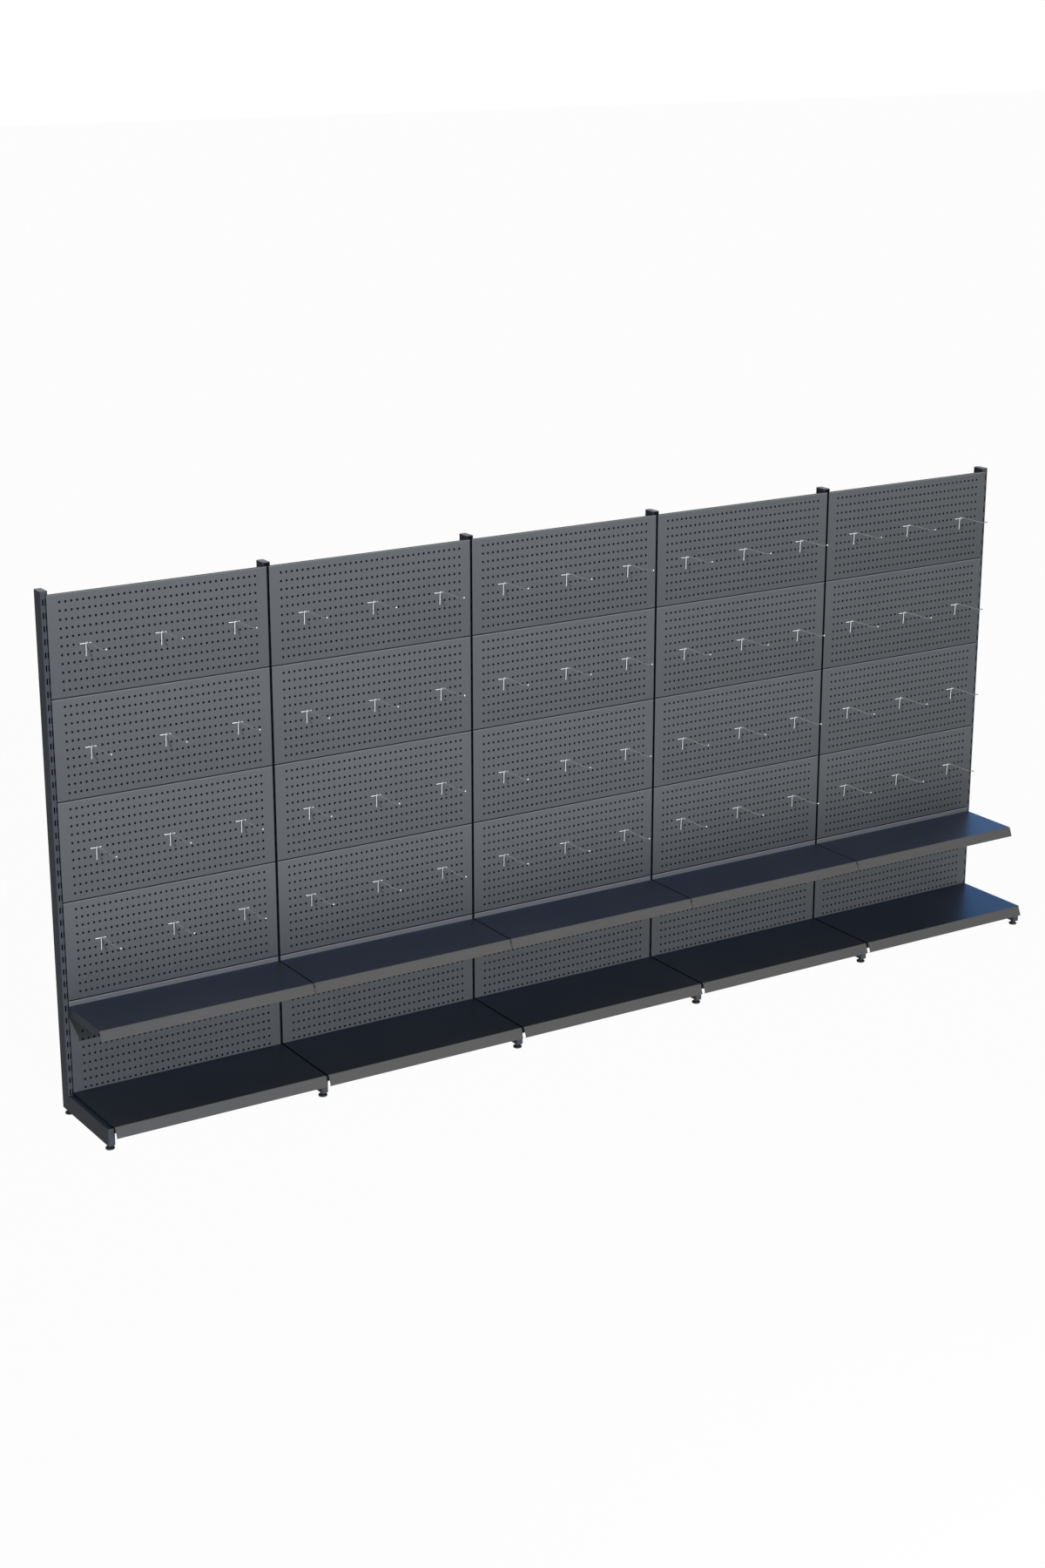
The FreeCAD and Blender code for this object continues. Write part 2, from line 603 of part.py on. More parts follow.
def base_deck():
    """Deck with its middle on X = 0, standing by its side flanges on the legs."""
    half = (BAY_PITCH - DECK_GAP) / 2
    lip_half = (BAY_PITCH - DECK_LIP_GAP) / 2
    rib_half = half - RIB_INSET
    under = DECK_TOP - SHEET
    sheet = lipped_sheet(DECK_TOP, DECK_REACH, DECK_RISE - MATING_GAP, DECK_LIP_DROP, DECK_LIP_SPLAY,
                         (-half, half))
    lip_zone = (-DECK_REACH - 2 * DECK_LIP_SPLAY, -DECK_REACH)
    rear_zone = (-MATING_GAP - SHEET - SHEET_BEND, 0)
    pieces = [sheet]
    for side in (-1, 1):
        x = sorted((side * (half + 1), side * lip_half))
        pieces[0] = pieces[0].cut(block(x, lip_zone, (0, DECK_TOP + 1)))
        x = sorted((side * (half + 1), side * (half - UPRIGHT_WIDTH / 2)))
        pieces[0] = pieces[0].cut(block(x, rear_zone, (0, under)))
        x = sorted((side * half, side * (half - SHEET)))
        y = (-LEG_REACH + LEG_NOSE, -2 * LEG_SHOULDER)
        pieces.append(block(x, y, (LEG_TOP, under)))
    for middle in DECK_RIBS:
        pieces.append(rib(middle, RIB_WIDTH, DECK_RIB_DEPTH, under, (-rib_half, rib_half)))
    front_middle = LEG_REACH - FRONT_RIB_SETBACK - RIB_WIDTH / 2
    front_half = (BAY_PITCH - UPRIGHT_WIDTH) / 2 - MATING_GAP
    pieces.append(rib(front_middle, RIB_WIDTH, FRONT_RIB_DEPTH, under, (-front_half, front_half)))
    return fused(pieces)


def shelf():
    """Shelf with its middle on X = 0, lying on the brackets' upper flanges."""
    half = (BAY_PITCH - SHELF_GAP) / 2
    rib_half = half - RIB_INSET
    under = SHELF_TOP - SHEET
    sheet = lipped_sheet(SHELF_TOP, SHELF_REACH, SHELF_FLANGE, SHELF_LIP_DROP, SHELF_LIP_SPLAY,
                         (-half, half))
    rear_zone = (-MATING_GAP - SHEET - SHEET_BEND, 0)
    for side in (-1, 1):
        x = sorted((side * (half + 1), side * rib_half))
        sheet = sheet.cut(block(x, rear_zone, (SHELF_TOP - SHELF_FLANGE - 1, under)))
    stiffener = rib(SHELF_RIB, RIB_WIDTH, SHELF_RIB_DEPTH, under, (-rib_half, rib_half))
    return fused([sheet, stiffener])


def bracket():
    """Bracket at the left end of a bay, its upright's middle on X = 0."""
    seat = SHELF_TOP - SHEET
    inner = (BRACKET_INNER, BRACKET_INNER + BRACKET_SHEET)
    spine_low = slot_z(SHELF_SLOT + BRACKET_SLOTS - 1) - BRACKET_FOOT
    spine_back = PANEL_STANDOFF - SEAT_GAP
    rear = seat - BRACKET_REAR_DEPTH
    front = seat - BRACKET_FRONT_DEPTH
    arm = [(-BRACKET_REACH, seat), (BRACKET_RAKE - BRACKET_REACH, front), (MATING_GAP, rear),
           (MATING_GAP, spine_low), (spine_back, spine_low), (spine_back, seat)]
    pieces = [plate_x(arm, inner)]
    for index in range(BRACKET_SLOTS):
        level = slot_z(SHELF_SLOT + index)
        outline = slot_hook(level, HOOK_REACH, spine_back - SEAT_GAP, SLOT_SPACING / 2 - BRACKET_INNER)
        pieces.append(plate_x(outline, inner))
    flange = (inner[1], inner[1] + BRACKET_FLANGE)
    rear_end = -2 * MATING_GAP - SHEET
    front_end = 2 * BRACKET_RAKE - BRACKET_REACH
    fall = (rear - front) / (BRACKET_REACH - BRACKET_RAKE)
    low_front = front + fall * BRACKET_RAKE
    pieces.append(block(flange, (front_end, rear_end), (seat - BRACKET_SHEET, seat)))
    lower = [(front_end, low_front), (rear_end, rear), (rear_end, rear + BRACKET_SHEET),
             (front_end, low_front + BRACKET_SHEET)]
    pieces.append(plate_x(lower, flange))
    return fused(pieces)


# Wire hooks

def display_hook():
    """Hook with its crossbar's middle on X = 0 at its peg holes' level, Z = 0."""
    bar_y = -WIRE_RADIUS - WIRE_GAP
    leg_y = bar_y - 2 * WIRE_RADIUS + HOOK_WELD
    tail = [FreeCAD.Vector(PEG_PITCH_X, HOOK_TAIL_REACH, HOOK_TAIL_RISE),
            FreeCAD.Vector(PEG_PITCH_X, HOOK_TAIL_REACH, 0), FreeCAD.Vector(PEG_PITCH_X, bar_y, 0)]
    other = [FreeCAD.Vector(-p.x, p.y, p.z) for p in tail[::-1]]
    crossbar = wire_rod(tail + other, [HOOK_BEND] * 6)
    prong_end = FreeCAD.Vector(0, -HOOK_PRONG, HOOK_PRONG_LIFT)
    tip = prong_end + FreeCAD.Vector(0, -HOOK_TIP_REACH, HOOK_TIP_RISE)
    leg_foot = FreeCAD.Vector(0, bar_y, -HOOK_LEG)
    leg_top = FreeCAD.Vector(0, leg_y, HOOK_PRONG_LIFT)
    prong = wire_rod([leg_foot, leg_top, prong_end, tip], [0, HOOK_PRONG_BEND, HOOK_PRONG_BEND, 0])
    ball = Part.makeSphere(HOOK_BALL_RADIUS, tip)
    return fused([crossbar, prong, ball])


def hook_places(line):
    """(X, Z) of every hook of one line."""
    columns = peg_columns()
    middle = (len(columns) - 1) // 2
    z = panel_top(line) - peg_rows()[HOOK_ROW_HOLES[line]]
    places = []
    for bay in range(BAY_COUNT):
        for index in range(HOOKS_PER_PANEL):
            column = columns[middle + (index - (HOOKS_PER_PANEL - 1) // 2) * HOOK_COLUMN_STEP]
            places.append((bay_middle(bay) + column, z))
    return places


def bay_middle(bay):
    return upright_x(bay) + BAY_PITCH / 2


# Nodes

def frame_nodes():
    nodes = {}
    tube = upright_tube()
    cap = upright_cap()
    leg = base_leg()
    foot = levelling_foot()
    for index in range(BAY_COUNT + 1):
        x = upright_x(index)
        sides = [side for side in (-1, 1) if 0 <= index + (side - 1) / 2 < BAY_COUNT]
        number = index + 1
        nodes[f"upright_{number}"] = moved(with_screw_holes(tube, sides), x)
        nodes[f"base_leg_{number}"] = moved(leg, x)
        nodes[f"front_foot_{number}"] = moved(foot, x, FRONT_FOOT_Y)
        nodes[f"rear_foot_{number}"] = moved(foot, x, UPRIGHT_MID_Y)
    caps = [moved(cap, upright_x(index)) for index in range(BAY_COUNT + 1)]
    nodes["upright_caps"] = Part.makeCompound(caps)
    bolt = leg_bolt()
    bolts = [moved(bolt, upright_x(i), 0, level) for i in range(BAY_COUNT + 1) for level in bolt_levels()]
    nodes["leg_bolts"] = Part.makeCompound(bolts)
    for name, level in zip(("upper_tie_rails", "lower_tie_rails"), RAIL_LEVELS):
        rail = tie_rail(level)
        nodes[name] = Part.makeCompound([moved(rail, bay_middle(bay)) for bay in range(BAY_COUNT)])
    screws = []
    for side in (-1, 1):
        screw = rail_screw(side)
        for bay in range(BAY_COUNT):
            x = upright_x(bay + (1 - side) // 2)
            screws += [moved(screw, x, 0, level) for level in screw_levels()]
    nodes["rail_screws"] = Part.makeCompound(screws)
    return nodes


def bay_nodes():
    nodes = {}
    panel = back_panel()
    deck = base_deck()
    tray = shelf()
    left = bracket()
    right = mirrored(left)
    for bay in range(BAY_COUNT):
        number = bay + 1
        x = bay_middle(bay)
        panels = [moved(panel, x, 0, panel_top(row)) for row in range(PANEL_ROWS)]
        nodes[f"upper_back_panels_{number}"] = Part.makeCompound(panels[:UPPER_PANELS])
        nodes[f"lower_back_panels_{number}"] = Part.makeCompound(panels[UPPER_PANELS:])
        nodes[f"base_deck_{number}"] = moved(deck, x)
        nodes[f"shelf_{number}"] = moved(tray, x)
        pair = [moved(left, upright_x(bay)), moved(right, upright_x(bay + 1))]
        nodes[f"shelf_brackets_{number}"] = Part.makeCompound(pair)
    return nodes


def hook_nodes():
    nodes = {}
    hook = display_hook()
    for line in range(len(HOOK_ROW_HOLES)):
        hooks = [moved(hook, x, 0, z) for x, z in hook_places(line)]
        nodes[f"hook_line_{line + 1}"] = Part.makeCompound(hooks)
    return nodes


def main():
    nodes = {**frame_nodes(), **bay_nodes(), **hook_nodes()}
    front = nodes["base_deck_1"].BoundBox.YMin
    back = nodes["upright_1"].BoundBox.YMax
    os.makedirs("parts", exist_ok=True)
    for name, shape in nodes.items():
        placed = moved(shape, 0, -(front + back) / 2)
        placed.exportStep(f"parts/{name}.step")


main()
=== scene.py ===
"""Looks of a gondola shelving run: painted sheets, wire hooks, levelling feet, end caps and screws."""

import json
import math

import bpy
import numpy as np
from bpy.props import FloatProperty, FloatVectorProperty, IntProperty, PointerProperty
from bpy.types import Operator, Panel, PropertyGroup
from mathutils import Euler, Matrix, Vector


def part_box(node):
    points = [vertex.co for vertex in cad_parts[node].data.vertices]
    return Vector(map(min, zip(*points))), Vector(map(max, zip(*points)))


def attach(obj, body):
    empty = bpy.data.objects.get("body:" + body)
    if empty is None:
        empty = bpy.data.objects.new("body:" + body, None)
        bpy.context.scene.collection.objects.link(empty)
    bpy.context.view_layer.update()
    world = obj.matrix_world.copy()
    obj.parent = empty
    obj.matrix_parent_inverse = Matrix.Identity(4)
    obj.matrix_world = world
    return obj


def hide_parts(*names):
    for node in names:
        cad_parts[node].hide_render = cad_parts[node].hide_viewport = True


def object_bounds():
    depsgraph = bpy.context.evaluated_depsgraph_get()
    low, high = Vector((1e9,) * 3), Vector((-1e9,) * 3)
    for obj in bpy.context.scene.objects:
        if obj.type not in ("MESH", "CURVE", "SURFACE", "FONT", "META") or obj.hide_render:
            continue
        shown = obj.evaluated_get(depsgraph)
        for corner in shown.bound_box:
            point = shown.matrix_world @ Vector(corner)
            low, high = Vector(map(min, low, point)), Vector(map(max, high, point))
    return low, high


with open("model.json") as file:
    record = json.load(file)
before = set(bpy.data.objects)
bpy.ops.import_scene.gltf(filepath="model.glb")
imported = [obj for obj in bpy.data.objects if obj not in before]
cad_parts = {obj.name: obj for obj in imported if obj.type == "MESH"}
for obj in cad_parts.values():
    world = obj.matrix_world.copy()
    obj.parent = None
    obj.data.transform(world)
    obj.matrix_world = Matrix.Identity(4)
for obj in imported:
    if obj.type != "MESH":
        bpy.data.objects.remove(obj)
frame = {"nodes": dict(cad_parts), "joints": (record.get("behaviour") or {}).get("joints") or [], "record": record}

bl_info = {
    "name": "Gondola Shelving Run",
    "version": (1, 0, 0),
    "blender": (4, 5, 0),
    "location": "3D View > Sidebar > Gondola",
    "description": "Finishes a run of gondola shelving: paint, wire hooks, feet, caps, screws and stage",
    "category": "Object",
}

CAD_BOX = [list(corner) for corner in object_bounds()]
RECORD = frame["record"]
BAYS = sum(name.startswith("base_deck_") for name in frame["nodes"])
JOINTS = {joint["name"]: joint for joint in frame["joints"]}
BAY_START = (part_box("upright_1")[0][0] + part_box("upright_1")[1][0]) / 2
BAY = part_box("upright_2")[0][0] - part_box("upright_1")[0][0]
UPPER_ROWS = 3                # rows of panels in a bay's upper group
PANEL_SHEET = 0.0008          # thickness of the panels' sheet
DECK_SHEET = 0.001            # thickness of the decks' sheet
COAT_EDGE = 0.0003            # how far a change of coat keeps from the edge it follows
PEG_COLUMNS, PEG_ROWS = 35, 11
PEG_PITCH = (0.0236, 0.0336)
HOLE_SHADE = 0.0050            # radius of the black painted shade round a peg hole
SEAM_LINE = 0.0045            # width of the painted dark shade line and the painted pale highlight line at a seam
ROW_SHADE = 0.12              # share of the tint added to the coat at a panel's upper edge
ROW_FALL = 0.22               # share lost from there to the lower edge, twice over in the fourth row
BAY_FALL = 0.07               # share lost in every metre to the right of the middle, painted shade falling off to the right
UNDER_SHADE = 0.27            # share lost below the shelves, painted shade
SHEEN = 0.8                   # metallic share of the painted sheen on the flat tops
WIRE_MIDDLE = 0.0023          # hooks' wire ahead of the panel face
PLATE_INSET = 0.009           # rail screws inside the ends of the rails' plates
PLATE_FACE = 0.003            # outer face of the rails' plates beside the uprights
OVERLAP = 0.0005              # how far joined pieces sink into each other


# Properties


def length(name, text, value):
    """Length in metres, with the properties that every size shares."""
    return FloatProperty(name=name, description=text, default=value, min=0.0, precision=5,
                         subtype="DISTANCE", unit="LENGTH")


def colour(name, text, value):
    """Linear colour without alpha."""
    return FloatVectorProperty(name=name, description=text, default=value, size=3, min=0.0, max=1.0,
                               subtype="COLOR")


class HookSizes(PropertyGroup):
    """Sizes of one wire display hook and its place in the peg holes."""

    wire: length("Wire radius", "Radius of the drawn wire", 0.002)
    pitch: length("Peg pitch", "Distance between neighbouring peg holes", 0.0236)
    step: IntProperty(name="Column step", description="Peg holes from one hook to the next", default=13)
    per_bay: IntProperty(name="Hooks per bay", description="Hooks at one height in a bay", default=3)
    tail_reach: length("Tail reach", "How far the bent ends go behind the panel face", 0.0053)
    tail_rise: length("Tail rise", "How far the bent ends turn up behind the panel", 0.009)
    bend: length("Crossbar bend", "Bend radius of the crossbar, at the wire's middle", 0.003)
    leg: length("Leg", "How far the prong's leg hangs below the crossbar", 0.050)
    prong: length("Prong", "From the panel face to the prong's upward bend", 0.155)
    lift: length("Prong lift", "Height of the prong above the crossbar", 0.008)
    prong_bend: length("Prong bend", "Bend radius of the prong, at the wire's middle", 0.006)
    tip_reach: length("Tip reach", "Length of the raised tip, seen from above", 0.035)
    tip_rise: length("Tip rise", "Height gained along the raised tip", 0.0085)
    ball: length("Ball radius", "Radius of the ball on the tip", 0.0036)
    weld: length("Weld depth", "How far the two wires sink into each other", 0.0008)


class FootSizes(PropertyGroup):
    """Sizes of one levelling foot."""

    pad: length("Pad radius", "Radius of the round pad", 0.01798)
    height: length("Pad height", "Height of the pad", 0.008)
    edge: length("Pad edge", "Radius of the pad's rounded edges", 0.0018)
    ribs: IntProperty(name="Grip ribs", description="Ribs round the pad", default=36)
    rib: length("Rib depth", "Depth of the grooves between the ribs", 0.00035)
    flats: length("Nut flats", "Width across the nut's flats", 0.017)
    nut_top: length("Nut top", "Height of the nut's upper face above the floor", 0.0197)
    stem: length("Stem radius", "Outer radius of the thread", 0.005)
    thread: length("Thread pitch", "Rise of the thread in one turn", 0.0015)
    depth: length("Thread depth", "Depth of the thread's groove", 0.0005)


class CapSizes(PropertyGroup):
    """Sizes of the plastic cap in an upright's open top."""

    corner: length("Corner", "Radius of the cap's upright corners, as on the upright", 0.003)
    edge: length("Edge", "Radius of the rounded upper edge", 0.0009)
    crown: length("Crown", "How far the middle stands above the edge", 0.0005)
    plug: length("Plug", "How far the plug reaches into the upright", 0.014)
    inset: length("Inset", "From the cap's edge to the plug's side", 0.0022)


class ScrewSizes(PropertyGroup):
    """Sizes of the pan head screws of the tie rails."""

    head: length("Head radius", "Radius of the screw's head", 0.0045)
    height: length("Head height", "Height of the screw's head", 0.003)
    shank: length("Shank radius", "Outer radius of the thread", 0.0024)
    thread: length("Thread pitch", "Rise of the thread in one turn", 0.0012)
    depth: length("Thread depth", "Depth of the thread's groove", 0.00035)
    recess: length("Recess", "Length of one arm of the cross recess", 0.0024)
    arm: length("Recess arm", "Half the width of the recess's arms", 0.0005)
    sink: length("Recess sink", "Depth of the cross recess", 0.0012)
    reach: length("Shank reach", "Length of the shank behind the head", 0.011)


class Finishes(PropertyGroup):
    """Colours of the coats, the plastics and the metals, and of the painted shade, highlight and sheen."""

    panel: colour("Panel coat", "Graphite coat of the perforated back panels", (0.099, 0.103, 0.109))
    sheet: colour("Shelf coat", "Graphite coat of the decks and shelves", (0.101, 0.098, 0.096))
    steel: colour("Frame coat", "Graphite coat of uprights, legs, brackets and rails", (0.068, 0.077, 0.094))
    gloss: colour("Gloss tint", "Tint of the coats' reflection", (0.55, 0.75, 1.0))
    # Painted reflection: the tops' metallic sheen is tinted blue for the reflection seen on them.
    sheen: colour("Sheen tint", "Tint of the tops' metallic sheen, seen low over them", (0.12, 0.44, 1.0))
    # Painted light and shade: the shelves' flat tops get a colour of their own for how light falls on them.
    top: colour("Shelf top", "Coat of the shelves' flat tops", (0.142, 0.138, 0.155))
    # Painted shade: plain black laid in the peg holes, gaps, folds and under the shelves, where shade falls.
    inside: colour("Painted shade", "Thin black coat in the peg holes, gaps and folds", (0.008, 0.008, 0.009))
    # Painted highlight: a pale line on the panels' upper folds, where light catches them.
    fold_highlight: colour("Fold highlight", "Pale coat on the panels' upper folds", (0.165, 0.172, 0.185))
    cap: colour("Cap plastic", "Dark blue moulded end caps", (0.018, 0.032, 0.060))
    foot: colour("Foot plastic", "Black moulded feet", (0.008, 0.008, 0.009))
    wire: colour("Wire", "Bright zinc of the display hooks", (0.80, 0.82, 0.84))
    screw: colour("Fasteners", "Zinc of bolts and screws", (0.60, 0.61, 0.62))


class StageLevels(PropertyGroup):
    """Camera, lamps and floor."""

    place: FloatVectorProperty(name="Camera place", description="Where the camera stands", size=3,
                               default=(-5.8684, -8.7266, 4.2951), subtype="TRANSLATION", unit="LENGTH")
    tilt: FloatProperty(name="Camera tilt", description="Camera's angle from looking straight down",
                        default=math.radians(72.346), subtype="ANGLE")
    turn: FloatProperty(name="Camera turn", description="Camera's angle about the upright axis",
                        default=math.radians(-32.456), subtype="ANGLE")
    lens: FloatProperty(name="Lens", description="Focal length in millimetres", default=60.603)
    rise: FloatProperty(name="Shift", description="Upward shift of the lens", default=0.0101)
    heading: FloatVectorProperty(name="Key direction", description="Way the key light travels", size=3,
                                 default=(0.11, 0.935, -0.34), subtype="DIRECTION")
    key: FloatProperty(name="Key", description="Strength of the key light", default=2.3)
    fill: FloatProperty(name="Fill", description="Power of the soft lamp before the left bays", default=75.0)
    fill_place: FloatVectorProperty(name="Fill place", description="Where the soft lamp stands", size=3,
                                    default=(-1.1, -5.2, 1.3), subtype="TRANSLATION", unit="LENGTH")
    fill_way: FloatVectorProperty(name="Fill direction", description="Way the soft lamp's light travels",
                                  size=3, default=(0.1, 0.99, -0.03), subtype="DIRECTION")
    sky: FloatProperty(name="Sky", description="Light of the surroundings on the object", default=0.05)
    floor: colour("Floor", "Colour of the floor", (0.8, 0.8, 0.8))
    paleness: FloatProperty(name="Paleness", description="Share of plain white that the floor shows",
                            default=0.97, min=0.0, max=1.0, subtype="FACTOR")


# Surfaces


def unit(vector):
    """Vector divided by its length."""
    return vector / np.linalg.norm(vector)


def lofted(rings):
    """Closed surface through rings, an array (ring, point, xyz), anticlockwise seen against the way.

    A quad joins each point to its neighbour and to the next ring's, and one flat face closes each end.
    """
    count, sides = rings.shape[:2]
    index = np.arange(count * sides).reshape(count, sides)
    after = np.roll(index, -1, axis=1)
    quads = np.stack([index[:-1], after[:-1], after[1:], index[1:]], axis=-1).reshape(-1, 4)
    ends = [index[0, ::-1].tolist(), index[-1].tolist()]
    return rings.reshape(-1, 3), quads.tolist() + ends


def turned(radii, heights, angles, place=(0.0, 0.0, 0.0)):
    """Lathed surface: (r cos a, r sin a, h) over every height and angle; radii may differ by angle too."""
    radii = np.broadcast_to(np.asarray(radii, float).reshape(len(heights), -1), (len(heights), len(angles)))
    rings = np.stack([radii * np.cos(angles), radii * np.sin(angles),
                      np.broadcast_to(np.asarray(heights)[:, None], radii.shape)], axis=-1)
    return lofted(rings + np.asarray(place))


def round_angles(sides):
    """Equally spaced angles round a circle, the last one before the first again."""
    return np.arange(sides) * 2 * math.pi / sides


def wire_line(corners, bends, turn_step=math.radians(15)):
    """Centre line of bent wire: straight runs whose corners become arcs.

    An arc of radius R that turns by t touches its runs R tan(t / 2) before and after the corner. Its
    points are centre + cos(a) start + sin(a) R travel for a from 0 to t.
    """
    line = [corners[:1]]
    for before, corner, after, radius in zip(corners, corners[1:], corners[2:], bends):
        back = unit(before - corner)
        on = unit(after - corner)
        turn = math.pi - math.acos(np.clip(back @ on, -1, 1))
        centre = corner + unit(back + on) * radius / math.cos(turn / 2)
        start = corner + back * radius * math.tan(turn / 2) - centre
        angle = np.linspace(0, turn, math.ceil(turn / turn_step) + 1)[:, None]
        line.append(centre + np.cos(angle) * start - np.sin(angle) * radius * back)
    line.append(corners[-1:])
    return np.concatenate(line)


def wire(line, first_side, radius, sides=12, dome_rings=4):
    """Round wire along a line: each ring is centre + r (cos a side + sin a (tangent x side)).

    The side keeps square to the tangent by losing its part along it from ring to ring. Domed ends add
    rings that move out by r sin b while they shrink to r cos b.
    """
    run = np.diff(line, axis=0)
    run /= np.linalg.norm(run, axis=1)[:, None]
    tangent = np.concatenate([run[:1], run[:-1] + run[1:], run[-1:]])
    tangent /= np.linalg.norm(tangent, axis=1)[:, None]
    side = [np.asarray(first_side, float)]
    for way in tangent:
        side.append(unit(side[-1] - (side[-1] @ way) * way))
    dome = np.linspace(0, math.pi / 2, dome_rings + 1)[1:] * 0.93
    outward = radius * np.sin(dome)[:, None]
    ahead = line[:1] - outward[::-1] * tangent[:1]
    centres = np.concatenate([ahead, line, line[-1:] + outward * tangent[-1:]])
    repeats = np.concatenate([[dome_rings + 1], np.ones(len(line) - 2, int), [dome_rings + 1]])
    tangents = np.repeat(tangent, repeats, axis=0)[:, None, :]
    sideways = np.repeat(np.array(side[1:]), repeats, axis=0)[:, None, :]
    radii = radius * np.concatenate([np.cos(dome)[::-1], np.ones(len(line)), np.cos(dome)])
    angle = round_angles(sides)[None, :, None]
    spoke = np.cos(angle) * sideways + np.sin(angle) * np.cross(tangents, sideways)
    return lofted(centres[:, None, :] + radii[:, None, None] * spoke)


def ball(centre, radii, sides=14, rings=9):
    """Ellipsoid: centre + (x cos b cos a, y cos b sin a, z sin b) for b from pole to pole."""
    rise = np.linspace(-math.pi / 2, math.pi / 2, rings + 2)[1:-1][:, None]
    angle = round_angles(sides)[None, :]
    shape = np.stack([np.cos(rise) * np.cos(angle), np.cos(rise) * np.sin(angle),
                      np.broadcast_to(np.sin(rise), (rings, sides))], axis=-1)
    return lofted(np.asarray(centre) + shape * np.asarray(radii))


def threaded(radius, depth, pitch, low, high, sides=24, per_turn=6):
    """Thread on a rod along Z.

    The radius falls by depth times |2 f - 1|, with f the part of a turn at a / 2 pi - z / pitch.
    """
    heights = np.linspace(low, high, max(2, round((high - low) / pitch * per_turn)))
    angles = round_angles(sides)
    phase = (angles[None, :] / (2 * math.pi) - heights[:, None] / pitch) % 1.0
    return turned(radius - depth * np.abs(2 * phase - 1), heights, angles)


def nut(flats, low, high, sides=72):
    """Hexagon nut, cut by a 30 degree cone at both faces.

    Its radius is half the flats over the cosine of the angle from the nearest flat's middle.
    """
    angles = round_angles(sides)
    off_flat = (angles + math.pi / 6) % (math.pi / 3) - math.pi / 6
    corner = flats / 2 / np.cos(off_flat)
    depths = np.array([0.0, 0.25, 0.5, 0.8, 1.3]) * 0.001
    heights = np.concatenate([low + depths, high - depths[::-1]])
    cone = 0.95 * flats / 2 + np.concatenate([depths, depths[::-1]]) / math.tan(math.pi / 6)
    return turned(np.minimum(corner[None, :], cone[:, None]), heights, angles)


def rounded_ring(half_x, half_y, radius, height, per_corner=6):
    """Rounded rectangle at a height: corner centre + radius (cos a, sin a), a quarter turn at each corner."""
    quarter = np.linspace(0, math.pi / 2, per_corner)
    angle = np.concatenate([quarter + k * math.pi / 2 for k in range(4)])
    middle = np.repeat(np.arange(4) * math.pi / 2 + math.pi / 4, per_corner)
    x = np.sign(np.cos(middle)) * (half_x - radius) + radius * np.cos(angle)
    y = np.sign(np.sin(middle)) * (half_y - radius) + radius * np.sin(angle)
    return np.stack([x, y, np.full_like(x, height)], axis=-1)


def joined(parts):
    """One list of vertices and faces from several."""
    vertices, faces, start = [], [], 0
    for points, polygons in parts:
        vertices.append(points)
        faces += [[corner + start for corner in polygon] for polygon in polygons]
        start += len(points)
    return np.concatenate(vertices), faces


def copied(part, places):
    """The part at every place."""
    return joined([(part[0] + np.asarray(place), part[1]) for place in places])


def swapped(part, matrix):
    """The part with its points turned by a rotation matrix."""
    return part[0] @ np.asarray(matrix, float).T, part[1]


def piece(name, part, material, body, nodes, sharp=35):
    """Mesh object that rides on a body and stands for CAD nodes."""
    points, faces = part
    mesh = bpy.data.meshes.new(name)
    mesh.from_pydata(points.tolist(), [], faces)
    mesh.validate()
    mesh.materials.append(material)
    made = bpy.data.objects.new(name, mesh)
    bpy.context.scene.collection.objects.link(made)
    mesh.shade_smooth()
    mesh.set_sharp_from_angle(angle=math.radians(sharp))
    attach(made, body)
    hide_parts(*nodes)
    return made


def body_of(node):
    """Name of the CAD body that carries a node."""
    return next(name for name, nodes in RECORD["behaviour"]["bodies"].items() if node in nodes)


def middle(node):
    """Middle of a node's box."""
    low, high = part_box(node)
    return (np.array(low) + np.array(high)) / 2


def all_bays():
    """Numbers of the bays, from the left."""
    return range(1, BAYS + 1)


def all_uprights():
    """Numbers of the uprights, from the left."""
    return range(1, BAYS + 2)


# Materials


class Value:
    """Socket of a shader's node tree that takes part in sums and products."""

    def __init__(self, shader, socket):
        self.shader = shader
        self.socket = socket

    def __add__(self, other):
        return self.shader.maths("ADD", self, other)

    def __sub__(self, other):
        return self.shader.maths("SUBTRACT", self, other)

    def __rsub__(self, other):
        return self.shader.maths("SUBTRACT", other, self)

    def __mul__(self, other):
        return self.shader.maths("MULTIPLY", self, other)

    __radd__ = __add__
    __rmul__ = __mul__


